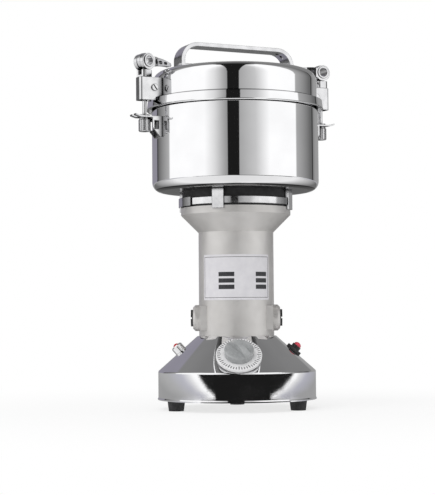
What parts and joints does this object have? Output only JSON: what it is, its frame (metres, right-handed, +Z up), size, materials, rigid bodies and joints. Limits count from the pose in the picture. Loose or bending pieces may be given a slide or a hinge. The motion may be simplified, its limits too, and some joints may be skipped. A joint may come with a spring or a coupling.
{
  "type": "electric grain mill",
  "caption": "Upright electric grain mill: round metal base with timer dial, motor neck, and a steel bowl whose domed lid is held down by cam lever clamps.",
  "frame": {"origin": "on the floor under the rotor's axis, which is the centre of the bounding box's base", "axes": "+Z up along the rotor's axis; -Y is the front, where the timer dial is; +X is the object's right as seen from the front"},
  "size_m": [0.2156, 0.1864, 0.3809],
  "materials": {
    "chrome_sheet": "mirror polished",
    "polished_steel": "polished",
    "machined_steel": "machined",
    "cast_silver": "satin silver paint",
    "plate_steel": "satin",
    "black_rubber": "matte",
    "gasket_rubber": "matte",
    "black_plastic": "satin",
    "holder_plastic": "matte",
    "carbon": "matte",
    "spring_steel": "drawn wire",
    "laminated_steel": "oiled",
    "copper_wire": "enamelled",
    "copper_bars": "turned",
    "white_plastic": "gloss",
    "grey_plastic": "satin",
    "red_lens": "gloss",
    "red_button": "gloss"
  },
  "bodies": {
    "base": {"base_shell": "chrome_sheet", "base_plate": "plate_steel", "foot_front_left": "black_rubber", "foot_front_right": "black_rubber", "foot_rear": "black_rubber", "foot_screws": "machined_steel", "cord_grommet": "black_rubber", "terminal_block": "black_plastic", "neck_casting": "cast_silver", "neck_screws": "machined_steel", "lower_bearing_bracket": "cast_silver", "lower_bearing": "machined_steel", "upper_bearing_plate": "cast_silver", "upper_bearing": "machined_steel", "stator_core": "laminated_steel", "field_coils": "copper_wire", "brush_holders": "holder_plastic", "carbon_brushes": "carbon", "brush_springs": "spring_steel", "brush_caps": "black_plastic", "jar": "chrome_sheet", "bowl_hub": "machined_steel", "hub_nut": "machined_steel", "shaft_seal": "black_rubber", "rubber_sleeve": "black_rubber", "band_clamp": "polished_steel", "seat_lugs": "polished_steel", "bowl_fasteners": "machined_steel", "jar_brackets": "polished_steel", "timer_body": "black_plastic", "indicator_bezel": "chrome_sheet", "indicator_lens": "red_lens", "reset_housing": "black_plastic"},
    "rotor": {"motor_shaft": "machined_steel", "armature_core": "laminated_steel", "armature_winding": "copper_wire", "commutator": "copper_bars", "cooling_fan": "black_plastic", "blades": "machined_steel", "blade_spacers": "machined_steel", "blade_nut": "machined_steel"},
    "dial": {"timer_dial": "white_plastic", "timer_knob": "grey_plastic", "timer_spindle": "machined_steel"},
    "reset": {"reset_button": "red_button"},
    "lid": {"lid_shell": "chrome_sheet", "lid_gasket": "gasket_rubber", "lid_handle": "polished_steel", "handle_rivets": "polished_steel", "clamp_boxes": "polished_steel", "clamp_lugs": "polished_steel", "clamp_screws": "polished_steel", "draw_rods": "polished_steel", "cam_saddles": "polished_steel", "lever_pins": "polished_steel"},
    "lever_left": {"cam_lever_left": "polished_steel"},
    "lever_right": {"cam_lever_right": "polished_steel"},
    "nut_left": {"thimble_nut_left": "polished_steel"},
    "nut_right": {"thimble_nut_right": "polished_steel"}
  },
  "joints": [
    {"name": "rotor_spin", "type": "hinge", "parent": "base", "child": "rotor", "pos_m": [0, 0, 0.14], "axis": [0, 0, 1], "continuous": true},
    {"name": "timer_turn", "type": "hinge", "parent": "base", "child": "dial", "pos_m": [0.00202, -0.06438, 0.05539], "axis": [0.0208, -0.6617, 0.7495], "range_deg": [-300, 0]},
    {"name": "reset_press", "type": "slide", "parent": "base", "child": "reset", "axis": [-0.662, 0, -0.7495], "range_m": [0, 0.0025], "stiffness_N_per_m": 300, "springref_m": -0.002},
    {"name": "lid_lift", "type": "slide", "parent": "base", "child": "lid", "axis": [0, 0, 1], "range_m": [0, 0.12]},
    {"name": "cam_lever_left_flip", "type": "hinge", "parent": "lid", "child": "lever_left", "pos_m": [-0.09267, -0.0452, 0.359], "axis": [0.7193, -0.6947, 0], "range_deg": [0, 150]},
    {"name": "cam_lever_right_flip", "type": "hinge", "parent": "lid", "child": "lever_right", "pos_m": [0.09267, 0.0452, 0.359], "axis": [-0.4384, 0.8988, 0], "range_deg": [0, 150]},
    {"name": "thimble_nut_left_turn", "type": "hinge", "parent": "base", "child": "nut_left", "pos_m": [-0.09267, -0.0452, 0.2926], "axis": [0, 0, 1], "continuous": true},
    {"name": "thimble_nut_right_turn", "type": "hinge", "parent": "base", "child": "nut_right", "pos_m": [0.09267, 0.0452, 0.2926], "axis": [0, 0, 1], "continuous": true}
  ]
}
